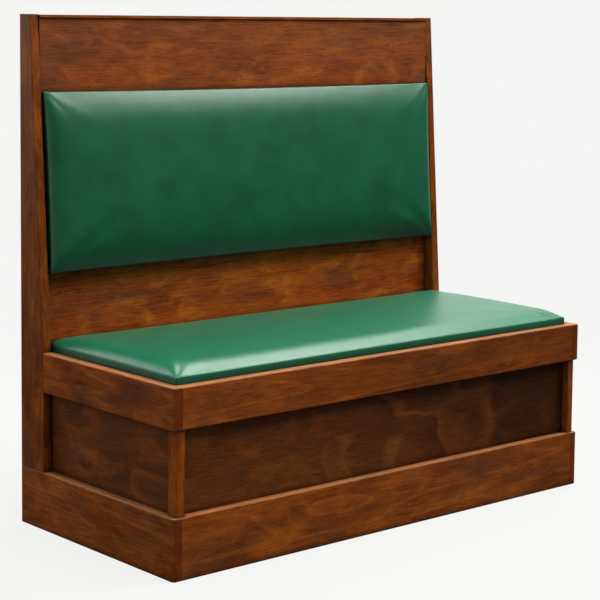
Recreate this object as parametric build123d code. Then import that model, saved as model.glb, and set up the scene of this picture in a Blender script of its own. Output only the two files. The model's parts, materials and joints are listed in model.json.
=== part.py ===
from build123d import *
import os

# Restaurant booth seat: a plinth, a panelled seat box under a deep rail, a framed back between
# two tapered end boards, a drop-in seat and a back cushion. Sizes are in millimetres.
# X runs along the width, Y towards the back and Z up. The origin is on the floor, under the
# middle of the booth.

# Driving dimensions of the whole booth
WIDTH = 1219.0
DEPTH = 560.0
HEIGHT = 1124.0
PLINTH_HEIGHT = 128.0
RAIL_BOTTOM = 305.0
RAIL_TOP = 392.0

# Board thicknesses
PLINTH_BOARD = 20.0
RAIL_BOARD = 22.0
END_BOARD = 22.0
PANEL = 12.0
DECK = 15.0
REAR_PANEL = 9.0
CAP = 6.0
BEARER = 20.0
GLUE_BLOCK = 40.0

# Plinth
BEARER_SPACING = 400.0
PLINTH_BEARER_HEIGHT = 90.0
PLINTH_BLOCK_LIFT = 10.0
BRACKET_SPACING = 760.0
BRACKET_LEG = 40.0
BRACKET_WIDTH = 30.0
BRACKET_STEEL = 2.0
BRACKET_HOLE = 25.0

# Seat box
POST_SIDE_INSET = 12.0
POST_FRONT_INSET = 4.0
POST_WIDTH = 19.0
POST_DEPTH = 30.0
BOX_DEPTH = 475.0
CLEAT_HEIGHT = 30.0

# Back: depths are measured from the rear face
END_FOOT_DEPTH = 88.0
END_TOP_DEPTH = 39.0
FACE_DEPTH_AT_RAIL = 53.0
FACE_DEPTH_AT_TOP = 42.0
CAP_DROP = 1.0
CAP_OVERHANG = 4.0
STUD_NOTCH_DEPTH = 56.0
STUD_SPACING = 385.0
BOTTOM_RAIL_HEIGHT = 40.0
LOWER_RAIL_HEIGHT = 72.0
TOP_RAIL_HEIGHT = 32.0
NOGGIN_LEVELS = (620.0, 890.0)

# Upholstery
SEAT_SINK = 20.0
SEAT_CLEARANCE = 2.0
SEAT_REAR = 503.0
SEAT_EDGE_RISE = 17.0
SEAT_RISE = 38.0
SEAT_SHOULDER = 45.0
SEAT_BOARD = 12.0
SEAT_BOARD_INSET = 6.0
DUST_COVER = 1.0
LOCATING_BLOCK = (40.0, 18.0, 15.0)
LOCATING_SPACING = 800.0
LOCATING_PLAY = 3.0
BACK_CUSHION_BOTTOM = 560.0
BACK_CUSHION_TOP = 957.0
BACK_CUSHION_CLEARANCE = 3.0
BACK_CUSHION_BOARD = 9.0
BACK_BOARD_INSET = 8.0
BACK_EDGE_RISE = 7.0
BACK_RISE = 32.0
BACK_SHOULDER = 70.0
DRAW_IN = 4.0
COVER = 1.2
FOAM_GAP = 0.3

# Edge rounding
CORNER_ROUND = 7.0
EDGE_ROUND = 3.0

# Screws: shank and head sizes, how deep each kind bites, and where each kind sits
SHANK_RADIUS = 2.0
HEAD_RADIUS = 4.0
HEAD_HEIGHT = 2.5
HOLE_PLAY = 0.1
RAIL_BITE = 12.0
FRAME_BITE = 14.0
CUSHION_BITE = 4.0
RAIL_SCREW_LIFT = 17.0
RAIL_SCREW_SPACING = 240.0
RAIL_SCREW_SIDES = (-130.0, 50.0)
END_SCREW_LEVELS = (230.0, 480.0, 750.0, 1000.0)
REAR_SCREW_LEVELS = (190.0, 463.0, 736.0, 1009.0)
CUSHION_SCREW_PLACES = (-480.0, 0.0, 480.0)
CUSHION_SCREW_LEVELS = (660.0, 850.0)

# Planes that follow from the driving dimensions
SIDE = WIDTH / 2
FRONT = -DEPTH / 2
BACK = DEPTH / 2
INNER_SIDE = SIDE - END_BOARD
BOX_SIDE = SIDE - RAIL_BOARD - PANEL
BOX_FRONT = FRONT + RAIL_BOARD + PANEL
BOX_BACK = FRONT + BOX_DEPTH
SEAT_LEVEL = RAIL_TOP - SEAT_SINK
SEAT_FRONT = FRONT + RAIL_BOARD + SEAT_CLEARANCE
SEAT_BACK = FRONT + SEAT_REAR
SEAT_REACH = SIDE - RAIL_BOARD - SEAT_CLEARANCE
BACK_REACH = INNER_SIDE - BACK_CUSHION_CLEARANCE
DECK_BOTTOM = PLINTH_HEIGHT - DECK
CAP_BOTTOM = HEIGHT - CAP_DROP - CAP
FRAME_BACK = BACK - REAR_PANEL
NOTCH = BACK - STUD_NOTCH_DEPTH


# Small helpers

def block(x0, x1, y0, y1, z0, z1):
    centre = Pos((x0 + x1) / 2, (y0 + y1) / 2, (z0 + z1) / 2)
    return centre * Box(abs(x1 - x0), abs(y1 - y0), abs(z1 - z0))


def upright(outline, x0, x1):
    # An outline in the Y-Z plane, carried from x0 to x1
    face = Plane.YZ.offset(x0) * make_face(Polyline(*outline, close=True))
    return extrude(face, x1 - x0)


def rounded(shape, radius, chosen):
    return fillet([edge for edge in shape.edges() if chosen(edge, edge.center())], radius)


def runs(edge, axis):
    # True for a straight edge along X, Y or Z, given as 0, 1 or 2
    start = tuple(edge @ 0)
    end = tuple(edge @ 1)
    return abs(end[axis] - start[axis]) > 0.999 * edge.length


def other_side(shape):
    return mirror(shape, about=Plane.YZ)


def group(solids):
    return Compound(children=list(solids))


def cylinder(start, direction, radius, length):
    return extrude(Plane(origin=start, z_dir=direction) * Circle(radius), length)


def screw(seat, direction, length, play=0.0):
    # The head stands on its seat, and the shank runs on in the given direction
    away = tuple(-part for part in direction)
    shank = cylinder(seat, direction, SHANK_RADIUS + play, length + play)
    return shank + cylinder(seat, away, HEAD_RADIUS + play, HEAD_HEIGHT)


def sunk_screw(top, direction, length, play=0.0):
    # The head is let into the board, flush with its face
    shank = cylinder(top, direction, SHANK_RADIUS + play, length + play)
    return shank + cylinder(top, direction, HEAD_RADIUS + play, HEAD_HEIGHT + play)


def drill(shape, screws):
    for tool in screws:
        shape = shape - tool
    return shape


def taper(level, at_rail, at_top):
    # A depth that changes evenly from the height of the rail to the top of the booth
    share = (level - RAIL_TOP) / (HEIGHT - RAIL_TOP)
    return at_rail + (at_top - at_rail) * share


def face_front(level):
    return BACK - taper(level, FACE_DEPTH_AT_RAIL, FACE_DEPTH_AT_TOP)


def face_back(level):
    return face_front(level) + PANEL


def end_edge(level):
    return BACK - taper(level, END_FOOT_DEPTH, END_TOP_DEPTH)


# Plinth

def plinth_side_board():
    inner = -SIDE + PLINTH_BOARD
    board = block(-SIDE, inner, FRONT, BACK, 0, PLINTH_HEIGHT)
    board = rounded(board, CORNER_ROUND, lambda e, at: runs(e, 2) and at.Y < 0 and at.X < inner - 1)
    arris = lambda e, at: at.Z > PLINTH_HEIGHT - 1 and at.X < inner - 1 and at.Y < BACK - 1
    return rounded(board, EDGE_ROUND, arris)


def plinth_front_board():
    reach = SIDE - PLINTH_BOARD
    board = block(-reach, reach, FRONT, FRONT + PLINTH_BOARD, 0, PLINTH_HEIGHT)
    arris = lambda e, at: runs(e, 0) and at.Z > PLINTH_HEIGHT - 1 and at.Y < FRONT + 1
    return rounded(board, EDGE_ROUND, arris)


def plinth_back_board():
    reach = SIDE - PLINTH_BOARD
    return block(-reach, reach, BACK - PLINTH_BOARD, BACK, 0, PLINTH_HEIGHT)


def base_deck():
    reach = SIDE - PLINTH_BOARD
    y0 = FRONT + PLINTH_BOARD
    y1 = BACK - PLINTH_BOARD
    return block(-reach, reach, y0, y1, DECK_BOTTOM, PLINTH_HEIGHT)


def cross_bearers(y0, y1, z0, z1):
    half = BEARER / 2
    centres = (-BEARER_SPACING / 2, BEARER_SPACING / 2)
    return group(block(x - half, x + half, y0, y1, z0, z1) for x in centres)


def corner_blocks(x_face, y_front, y_back, z0, z1):
    blocks = []
    for x0, x1 in ((-x_face, -x_face + GLUE_BLOCK), (x_face - GLUE_BLOCK, x_face)):
        blocks.append(block(x0, x1, y_front, y_front + GLUE_BLOCK, z0, z1))
        blocks.append(block(x0, x1, y_back - GLUE_BLOCK, y_back, z0, z1))
    return group(blocks)


def bracket_places():
    # Each angle bracket: its place along the width, the board face it is screwed to, and which
    # way along Y points into the plinth
    for x in (-BRACKET_SPACING / 2, BRACKET_SPACING / 2):
        yield x, FRONT + PLINTH_BOARD, 1
        yield x, BACK - PLINTH_BOARD, -1


def plinth_brackets():
    half = BRACKET_WIDTH / 2
    brackets = []
    for x, y, inward in bracket_places():
        sides = (x - half, x + half)
        wall = block(*sides, y, y + inward * BRACKET_STEEL, DECK_BOTTOM - BRACKET_LEG, DECK_BOTTOM)
        leg = block(*sides, y, y + inward * BRACKET_LEG, DECK_BOTTOM - BRACKET_STEEL, DECK_BOTTOM)
        brackets.append(wall + leg)
    return brackets


def bracket_screws(play=0.0):
    bite = FRAME_BITE - BRACKET_STEEL
    screws = []
    for x, y, inward in bracket_places():
        wall_seat = (x, y + inward * BRACKET_STEEL, DECK_BOTTOM - BRACKET_HOLE)
        deck_seat = (x, y + inward * BRACKET_HOLE, DECK_BOTTOM - BRACKET_STEEL)
        screws.append(screw(wall_seat, (0, -inward, 0), bite, play))
        screws.append(screw(deck_seat, (0, 0, 1), bite, play))
    return screws


# Seat box

def corner_post():
    x0 = -SIDE + POST_SIDE_INSET
    y0 = FRONT + POST_FRONT_INSET
    post = block(x0, x0 + POST_WIDTH, y0, y0 + POST_DEPTH, PLINTH_HEIGHT, RAIL_BOTTOM)
    return rounded(post, EDGE_ROUND, lambda e, at: runs(e, 2) and at.X < x0 + 1 and at.Y < y0 + 1)


def front_panel():
    reach = SIDE - POST_SIDE_INSET - POST_WIDTH
    return block(-reach, reach, FRONT + RAIL_BOARD, BOX_FRONT, PLINTH_HEIGHT, SEAT_LEVEL)


def side_panel():
    return block(-BOX_SIDE - PANEL, -BOX_SIDE, BOX_FRONT, BOX_BACK, PLINTH_HEIGHT, SEAT_LEVEL)


def box_rear_panel():
    return block(-BOX_SIDE, BOX_SIDE, BOX_BACK - PANEL, BOX_BACK, PLINTH_HEIGHT, SEAT_LEVEL)


def seat_rail_side():
    inner = -SIDE + RAIL_BOARD
    butt = BACK - END_FOOT_DEPTH
    rail = block(-SIDE, inner, FRONT, butt, RAIL_BOTTOM, RAIL_TOP)
    rail = rounded(rail, CORNER_ROUND, lambda e, at: runs(e, 2) and at.Y < 0 and at.X < inner - 1)
    arris = lambda e, at: not runs(e, 2) and at.X < inner - 1 and at.Y < butt - 1
    return rounded(rail, EDGE_ROUND, arris)


def seat_rail_front():
    reach = SIDE - RAIL_BOARD
    rail = block(-reach, reach, FRONT, FRONT + RAIL_BOARD, RAIL_BOTTOM, RAIL_TOP)
    return rounded(rail, EDGE_ROUND, lambda e, at: runs(e, 0) and at.Y < FRONT + 1)


def seat_cleat_front():
    reach = BOX_SIDE - GLUE_BLOCK
    return block(-reach, reach, BOX_FRONT, BOX_FRONT + BEARER, SEAT_LEVEL - CLEAT_HEIGHT, SEAT_LEVEL)


def seat_cleat_side():
    y0 = BOX_FRONT + GLUE_BLOCK
    y1 = BOX_BACK - PANEL - GLUE_BLOCK
    return block(-BOX_SIDE, -BOX_SIDE + BEARER, y0, y1, SEAT_LEVEL - CLEAT_HEIGHT, SEAT_LEVEL)


def rail_screws(play=0.0):
    # Driven from inside the box, through the panels into the rail
    level = RAIL_BOTTOM + RAIL_SCREW_LIFT
    length = PANEL + RAIL_BITE
    screws = []
    for step in range(-2, 3):
        screws.append(screw((step * RAIL_SCREW_SPACING, BOX_FRONT, level), (0, -1, 0), length, play))
    for sign in (-1, 1):
        for y in RAIL_SCREW_SIDES:
            screws.append(screw((sign * BOX_SIDE, y, level), (sign, 0, 0), length, play))
    return screws


# Back frame

def end_board():
    foot = BACK - END_FOOT_DEPTH
    head = BACK - END_TOP_DEPTH
    outline = [(foot, PLINTH_HEIGHT), (foot, RAIL_TOP), (head, HEIGHT), (BACK, HEIGHT), (BACK, PLINTH_HEIGHT)]
    board = upright(outline, -SIDE, -SIDE + END_BOARD)
    return rounded(board, EDGE_ROUND, lambda e, at: not runs(e, 0) and not runs(e, 1) and at.Y < head)


def back_lower_rail():
    low = SEAT_LEVEL - LOWER_RAIL_HEIGHT
    return block(-INNER_SIDE, INNER_SIDE, NOTCH - BEARER, NOTCH, low, SEAT_LEVEL)


def back_bottom_rail():
    high = PLINTH_HEIGHT + BOTTOM_RAIL_HEIGHT
    return block(-INNER_SIDE, INNER_SIDE, NOTCH, FRAME_BACK, PLINTH_HEIGHT, high)


def stud_places():
    end = INNER_SIDE - BEARER / 2
    return [-end, -STUD_SPACING / 2, STUD_SPACING / 2, end]


def back_studs():
    # Tapered studs, each with a step that the face panel stands on
    low = PLINTH_HEIGHT + BOTTOM_RAIL_HEIGHT
    high = CAP_BOTTOM - TOP_RAIL_HEIGHT
    outline = [
        (NOTCH, low),
        (NOTCH, SEAT_LEVEL),
        (face_back(SEAT_LEVEL), SEAT_LEVEL),
        (face_back(high), high),
        (FRAME_BACK, high),
        (FRAME_BACK, low),
    ]
    half = BEARER / 2
    return [upright(outline, x - half, x + half) for x in stud_places()]


def frame_bar(low, high, x0, x1):
    # A level bar that fills the space behind the raked face panel
    outline = [(face_back(low), low), (face_back(high), high), (FRAME_BACK, high), (FRAME_BACK, low)]
    return upright(outline, x0, x1)


def back_top_rail():
    return frame_bar(CAP_BOTTOM - TOP_RAIL_HEIGHT, CAP_BOTTOM, -INNER_SIDE, INNER_SIDE)


def back_noggins():
    half = BEARER / 2
    places = stud_places()
    bars = []
    for level in NOGGIN_LEVELS:
        for left, right in zip(places, places[1:]):
            bars.append(frame_bar(level - half, level + half, left + half, right - half))
    return group(bars)


def back_face_panel():
    low = SEAT_LEVEL
    high = CAP_BOTTOM
    front = [(face_front(low), low), (face_front(high), high)]
    back = [(face_back(high), high), (face_back(low), low)]
    return upright(front + back, -INNER_SIDE, INNER_SIDE)


def back_rear_panel():
    return block(-INNER_SIDE, INNER_SIDE, FRAME_BACK, BACK, PLINTH_HEIGHT, CAP_BOTTOM)


def top_cap():
    y0 = face_front(CAP_BOTTOM) - CAP_OVERHANG
    return block(-INNER_SIDE, INNER_SIDE, y0, BACK, CAP_BOTTOM, CAP_BOTTOM + CAP)


def end_board_screws(play=0.0):
    y = FRAME_BACK - BEARER / 2
    screws = []
    for sign in (-1, 1):
        for level in END_SCREW_LEVELS:
            seat = (sign * (INNER_SIDE - BEARER), y, level)
            screws.append(screw(seat, (sign, 0, 0), BEARER + FRAME_BITE, play))
    return screws


def rear_panel_screws(play=0.0):
    screws = []
    for x in stud_places():
        for level in REAR_SCREW_LEVELS:
            screws.append(sunk_screw((x, BACK, level), (0, -1, 0), REAR_PANEL + FRAME_BITE, play))
    return screws


# Cushions: each is a loft of cross-sections along the width. Every section has a flat underside,
# two sides, two long shoulders and a slightly crowned top. The sections crowd together at the
# ends, where the cushion rounds off.

END_STEPS = (0.0, 2.0, 6.0, 13.0, 25.0, 45.0, 80.0, 150.0, 270.0, 420.0)
SEAT_END_ROUND = 62.0
BACK_END_ROUND = 40.0
ROUND_POWER = 2.4
ARC_SHARE = 0.4
SHOULDER_AT_END = 12.0
STEP_AT_END = 1.0
DOME = 1.5


def stations(reach):
    left = [-reach + step for step in END_STEPS]
    return left + [0.0] + [-x for x in reversed(left)]


def swell(x, reach, run):
    # Rises from 0 at the cushion's end to 1 at the distance run from it, steep first
    share = min((reach - abs(x)) / run, 1.0)
    return 1 - (1 - share) ** ROUND_POWER


def climb(full, edge_rise, rise):
    # How far a shoulder climbs from the edge, leaving the dome to the crown's own arc
    return STEP_AT_END + (rise - edge_rise - DOME - STEP_AT_END) * full


def shoulder(side, top):
    # Three points of an arc that turns the corner from the end of a side to the start of a top
    bend = (side[0] + ARC_SHARE * (top[0] - side[0]), top[1] + ARC_SHARE * (side[1] - top[1]))
    return side, bend, top


def section(x, underside, first, second, crown):
    # underside: the two corners of the flat underside. first and second: the shoulders, each
    # from the end of its side to the start of the crown. crown: the middle of the crown's arc.
    outline = Line(underside[0], first[0])
    outline += ThreePointArc(*first)
    outline += ThreePointArc(first[2], crown, second[2])
    outline += ThreePointArc(*reversed(second))
    outline += Line(second[0], underside[1])
    outline += Line(underside[1], underside[0])
    return Plane.YZ.offset(x) * make_face(outline)


def seat_pillow(inset, floor):
    sections = []
    for x in stations(SEAT_REACH - inset):
        full = swell(x, SEAT_REACH, SEAT_END_ROUND)
        bow = DRAW_IN * (1 - (x / SEAT_REACH) ** 2)
        y0 = SEAT_FRONT + bow + inset
        y1 = SEAT_BACK - bow / 2 - inset
        side_top = RAIL_TOP + SEAT_EDGE_RISE - inset
        crown_start = side_top + climb(full, SEAT_EDGE_RISE, SEAT_RISE)
        top = crown_start + DOME
        run = SHOULDER_AT_END + (SEAT_SHOULDER - SHOULDER_AT_END) * full
        sections.append(section(
            x,
            ((y0, floor), (y1, floor)),
            shoulder((y0, side_top), (y0 + run, crown_start)),
            shoulder((y1, side_top), (y1 - run, crown_start)),
            ((y0 + y1) / 2, top),
        ))
    return loft(sections, ruled=True)


def seat_cover():
    return seat_pillow(0.0, SEAT_LEVEL) - seat_pillow(COVER, SEAT_LEVEL - COVER)


def seat_foam():
    return seat_pillow(COVER + FOAM_GAP, SEAT_LEVEL + DUST_COVER + SEAT_BOARD)


def seat_slab(low, high):
    reach = SEAT_REACH - SEAT_BOARD_INSET
    return block(-reach, reach, SEAT_FRONT + SEAT_BOARD_INSET, SEAT_BACK - SEAT_BOARD_INSET, low, high)


def seat_board():
    return seat_slab(SEAT_LEVEL + DUST_COVER, SEAT_LEVEL + DUST_COVER + SEAT_BOARD)


def seat_dust_cover():
    return seat_slab(SEAT_LEVEL, SEAT_LEVEL + DUST_COVER)


def seat_locating_blocks():
    # Small blocks under the seat that drop inside the cleats and stop it sliding
    length, width, height = LOCATING_BLOCK
    x_side = BOX_SIDE - BEARER - LOCATING_PLAY
    y_front = BOX_FRONT + BEARER + LOCATING_PLAY
    z0 = SEAT_LEVEL - height
    blocks = []
    for sign in (-1, 1):
        x = sign * LOCATING_SPACING / 2
        blocks.append(block(x - length / 2, x + length / 2, y_front, y_front + width, z0, SEAT_LEVEL))
        outer = sign * x_side
        blocks.append(block(outer, outer - sign * width, -length / 2, length / 2, z0, SEAT_LEVEL))
    return group(blocks)


def back_pillow(inset, behind):
    # behind: how far the shape runs on behind the front of the face panel, when it is a cutter
    sections = []
    for x in stations(BACK_REACH - inset):
        full = swell(x, BACK_REACH, BACK_END_ROUND)
        z0 = BACK_CUSHION_BOTTOM + DRAW_IN * (1 - (x / BACK_REACH) ** 2) + inset
        z1 = BACK_CUSHION_TOP - inset
        edge0 = end_edge(z0) - BACK_EDGE_RISE + inset
        edge1 = end_edge(z1) - BACK_EDGE_RISE + inset
        run = SHOULDER_AT_END + (BACK_SHOULDER - SHOULDER_AT_END) * full
        rise = climb(full, BACK_EDGE_RISE, BACK_RISE)
        rim0 = end_edge(z0 + run) - BACK_EDGE_RISE - rise + inset
        rim1 = end_edge(z1 - run) - BACK_EDGE_RISE - rise + inset
        low = shoulder((rim0, z0 + run), (edge0, z0))
        high = shoulder((rim1, z1 - run), (edge1, z1))
        sections.append(section(
            x,
            ((face_front(z0) + behind, z0), (face_front(z1) + behind, z1)),
            tuple(reversed(low)),
            tuple(reversed(high)),
            ((rim0 + rim1) / 2 - DOME, (z0 + z1) / 2),
        ))
    return loft(sections, ruled=True)


def back_board_outline(low, high, behind):
    # The back cushion's board lies flat on the face panel
    front_low = face_front(low) - BACK_CUSHION_BOARD
    front_high = face_front(high) - BACK_CUSHION_BOARD
    back_low = face_front(low) + behind
    back_high = face_front(high) + behind
    return [(back_low, low), (back_high, high), (front_high, high), (front_low, low)]


def back_cushion_board():
    low = BACK_CUSHION_BOTTOM + BACK_BOARD_INSET
    high = BACK_CUSHION_TOP - BACK_BOARD_INSET
    reach = BACK_REACH - BACK_BOARD_INSET
    return upright(back_board_outline(low, high, 0.0), -reach, reach)


def back_cushion_foam():
    whole = back_pillow(COVER + FOAM_GAP, 0.0)
    board_space = back_board_outline(BACK_CUSHION_BOTTOM, BACK_CUSHION_TOP, PANEL)
    return whole - upright(board_space, -SIDE, SIDE)


def back_cushion_cover():
    return back_pillow(0.0, 0.0) - back_pillow(COVER, PANEL)


def back_cushion_screws(play=0.0):
    # Driven from behind, through the face panel into the cushion's board
    screws = []
    for x in CUSHION_SCREW_PLACES:
        for level in CUSHION_SCREW_LEVELS:
            seat = (x, face_back(level), level)
            screws.append(screw(seat, (0, -1, 0), PANEL + CUSHION_BITE, play))
    return screws


# The whole booth: every node, with the holes for its screws

def nodes():
    plinth_side = plinth_side_board()
    plinth_space = (FRONT + PLINTH_BOARD, BACK - PLINTH_BOARD)
    box_space = (BOX_FRONT, BOX_BACK - PANEL)
    cleat_bottom = SEAT_LEVEL - CLEAT_HEIGHT
    post = corner_post()
    box_side_panel = drill(side_panel(), rail_screws(HOLE_PLAY))
    rail_side = drill(seat_rail_side(), rail_screws(HOLE_PLAY))
    cleat_side = seat_cleat_side()
    end = drill(end_board(), end_board_screws(HOLE_PLAY))
    stud_holes = end_board_screws(HOLE_PLAY) + rear_panel_screws(HOLE_PLAY)
    return {
        "plinth_left_board": plinth_side,
        "plinth_right_board": other_side(plinth_side),
        "plinth_front_board": drill(plinth_front_board(), bracket_screws(HOLE_PLAY)),
        "plinth_back_board": drill(plinth_back_board(), bracket_screws(HOLE_PLAY)),
        "plinth_cross_bearers": cross_bearers(*plinth_space, DECK_BOTTOM - PLINTH_BEARER_HEIGHT, DECK_BOTTOM),
        "plinth_corner_blocks": corner_blocks(
            SIDE - PLINTH_BOARD, *plinth_space, PLINTH_BLOCK_LIFT, DECK_BOTTOM),
        "plinth_brackets": group(drill(bracket, bracket_screws(HOLE_PLAY)) for bracket in plinth_brackets()),
        "plinth_bracket_screws": group(bracket_screws()),
        "base_deck": drill(base_deck(), bracket_screws(HOLE_PLAY)),
        "corner_post_left": post,
        "corner_post_right": other_side(post),
        "front_panel": drill(front_panel(), rail_screws(HOLE_PLAY)),
        "side_panel_left": box_side_panel,
        "side_panel_right": other_side(box_side_panel),
        "box_rear_panel": box_rear_panel(),
        "box_corner_blocks": corner_blocks(BOX_SIDE, *box_space, PLINTH_HEIGHT, SEAT_LEVEL),
        "seat_rail_front": drill(seat_rail_front(), rail_screws(HOLE_PLAY)),
        "seat_rail_left": rail_side,
        "seat_rail_right": other_side(rail_side),
        "rail_screws": group(rail_screws()),
        "seat_cleat_front": seat_cleat_front(),
        "seat_cleat_left": cleat_side,
        "seat_cleat_right": other_side(cleat_side),
        "seat_cross_bearers": cross_bearers(BOX_FRONT + BEARER, BOX_BACK - PANEL, cleat_bottom, SEAT_LEVEL),
        "end_board_left": end,
        "end_board_right": other_side(end),
        "end_board_screws": group(end_board_screws()),
        "back_lower_rail": back_lower_rail(),
        "back_bottom_rail": back_bottom_rail(),
        "back_studs": group(drill(stud, stud_holes) for stud in back_studs()),
        "back_top_rail": back_top_rail(),
        "back_noggins": back_noggins(),
        "back_face_panel": drill(back_face_panel(), back_cushion_screws(HOLE_PLAY)),
        "back_rear_panel": drill(back_rear_panel(), rear_panel_screws(HOLE_PLAY)),
        "rear_panel_screws": group(rear_panel_screws()),
        "top_cap": top_cap(),
        "back_cushion_board": drill(back_cushion_board(), back_cushion_screws(HOLE_PLAY)),
        "back_cushion_foam": back_cushion_foam(),
        "back_cushion_cover": back_cushion_cover(),
        "back_cushion_screws": group(back_cushion_screws()),
        "seat_board": seat_board(),
        "seat_foam": seat_foam(),
        "seat_cover": seat_cover(),
        "seat_dust_cover": seat_dust_cover(),
        "seat_locating_blocks": seat_locating_blocks(),
    }


os.makedirs("parts", exist_ok=True)
for name, shape in nodes().items():
    export_step(shape, f"parts/{name}.step")
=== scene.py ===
# %% [markdown]
# # A restaurant booth seat
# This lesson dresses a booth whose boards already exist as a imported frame. The boards keep their
# shapes and get their stained finish here. The two cushions are made here as real padded pieces,
# because a drafted solid can only give their size. Everything is in metres, X runs along the
# width, Y towards the back and Z up.

import json
import math

import bmesh
import bpy
import numpy as np
from mathutils import Matrix, Vector


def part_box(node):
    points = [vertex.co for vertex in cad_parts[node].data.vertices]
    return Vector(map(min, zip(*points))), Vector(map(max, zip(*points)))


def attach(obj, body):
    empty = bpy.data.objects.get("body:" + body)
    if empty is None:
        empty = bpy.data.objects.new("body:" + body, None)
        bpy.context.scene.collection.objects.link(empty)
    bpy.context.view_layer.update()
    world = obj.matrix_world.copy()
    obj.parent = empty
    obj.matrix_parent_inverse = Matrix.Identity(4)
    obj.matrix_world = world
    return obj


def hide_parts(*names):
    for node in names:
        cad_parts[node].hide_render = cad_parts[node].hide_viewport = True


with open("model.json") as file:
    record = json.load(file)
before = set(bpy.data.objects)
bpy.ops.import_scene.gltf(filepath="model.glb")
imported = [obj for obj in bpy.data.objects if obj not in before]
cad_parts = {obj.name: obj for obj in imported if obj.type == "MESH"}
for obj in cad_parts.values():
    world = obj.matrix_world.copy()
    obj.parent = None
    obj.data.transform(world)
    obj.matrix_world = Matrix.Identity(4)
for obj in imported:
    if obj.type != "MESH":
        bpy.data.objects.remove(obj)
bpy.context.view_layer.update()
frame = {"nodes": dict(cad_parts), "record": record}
nodes = frame["nodes"]
scene = bpy.context.scene
scene.view_settings.view_transform = "Standard"

# %% [markdown]
# ## The camera
# The photograph is taken from the front left, a little above the seat, with a long lens. Its
# place was worked out from the corners of the booth, so it is written down as numbers. The
# upright edges look almost parallel, which a photographer gets by keeping the camera level and
# sliding the lens down. A shift of the lens does the same here.

# %% Camera
CAMERA_PLACE = Vector((-2.683, -3.047, 1.125))
CAMERA_TURN = math.radians(40.894)
CAMERA_DIP = math.radians(5.259)
CAMERA_ROLL = math.radians(0.580)
CAMERA_LENS = 106.76
CAMERA_SHIFT = -0.20
CAMERA_REACH = 1000.0


def aim(turn, dip, roll):
    # The camera looks along its own -Z: turn is counted from +Y towards +X, dip is downwards
    ahead = Vector((math.sin(turn) * math.cos(dip), math.cos(turn) * math.cos(dip), -math.sin(dip)))
    level = Vector((math.cos(turn), -math.sin(turn), 0.0))
    above = level.cross(ahead)
    right = level * math.cos(roll) + above * math.sin(roll)
    up = above * math.cos(roll) - level * math.sin(roll)
    return Matrix((right, up, -ahead)).transposed().to_4x4()


camera_data = bpy.data.cameras.new("camera")
camera_data.lens = CAMERA_LENS
camera_data.shift_y = CAMERA_SHIFT
camera_data.clip_end = CAMERA_REACH
camera = bpy.data.objects.new("camera", camera_data)
camera.matrix_world = Matrix.Translation(CAMERA_PLACE) @ aim(CAMERA_TURN, CAMERA_DIP, CAMERA_ROLL)
scene.collection.objects.link(camera)
scene.camera = camera
print("camera", [round(v, 3) for v in CAMERA_PLACE])

# %% [markdown]
# ## The studio
# A booth like this is photographed against a pale backdrop, in a room that is darker in front of
# it. The rays that the camera sends out see the backdrop at its own colour. Glossy and see-through
# surfaces see it too where they look behind the booth, and a dim room where they look forwards.
# Only the other rays use the soft world light, so the background is pale without more light on
# the wood. The floor is a round sheet. It mixes the backdrop's colour with real shading, which
# keeps the shadow, and the shading fades out before the sheet ends, so no edge or horizon shows.

# %% Node helpers
def new_tree(material):
    material.use_nodes = True
    tree = material.node_tree
    tree.nodes.clear()
    return tree


def node(tree, kind, **settings):
    made = tree.nodes.new(kind)
    for name, value in settings.items():
        setattr(made, name, value)
    return made


def feed(tree, socket, value):
    # A number or a tuple is written into the socket, and anything else is linked to it
    if isinstance(value, (int, float, tuple)):
        socket.default_value = value
    else:
        tree.links.new(value, socket)


def calc(tree, operation, first, second=0.0, clamp=False):
    made = node(tree, "ShaderNodeMath", operation=operation, use_clamp=clamp)
    feed(tree, made.inputs[0], first)
    feed(tree, made.inputs[1], second)
    return made.outputs[0]


def dot(tree, first, second):
    made = node(tree, "ShaderNodeVectorMath", operation="DOT_PRODUCT")
    feed(tree, made.inputs[0], first)
    feed(tree, made.inputs[1], second)
    return made.outputs["Value"]


def eased(tree, value, start, end, low=0.0, high=1.0):
    # Goes softly from low to high while the value goes from start to end
    made = node(tree, "ShaderNodeMapRange", interpolation_type="SMOOTHSTEP")
    tree.links.new(value, made.inputs["Value"])
    for title, number in (("From Min", start), ("From Max", end), ("To Min", low), ("To Max", high)):
        made.inputs[title].default_value = number
    return made.outputs[0]


def over(tree, kind, share, first, second):
    made = node(tree, "ShaderNodeMix", data_type="RGBA", blend_type=kind)
    sockets = [socket for socket in made.inputs if socket.enabled]
    for socket, value in zip(sockets, (share, first, second)):
        feed(tree, socket, value)
    return [socket for socket in made.outputs if socket.enabled][0]


def mixed_shader(tree, share, first, second):
    made = node(tree, "ShaderNodeMixShader")
    feed(tree, made.inputs[0], share)
    tree.links.new(first, made.inputs[1])
    tree.links.new(second, made.inputs[2])
    return made.outputs[0]


def end_tree(tree, shader, kind="ShaderNodeOutputMaterial"):
    tree.links.new(shader, node(tree, kind).inputs["Surface"])


# %% World
BACKDROP = (0.913, 0.913, 0.896, 1)
BACKDROP_SIDE = (0.35, 0.94, 0.0)
BACKDROP_FADE = (0.1, 0.9)
MIRRORED_BEHIND = 0.95
MIRRORED_IN_FRONT = 0.15
ROOM_LIGHT = (0.95, 0.97, 1.0, 1)
ROOM_STRENGTH = 0.10


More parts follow.
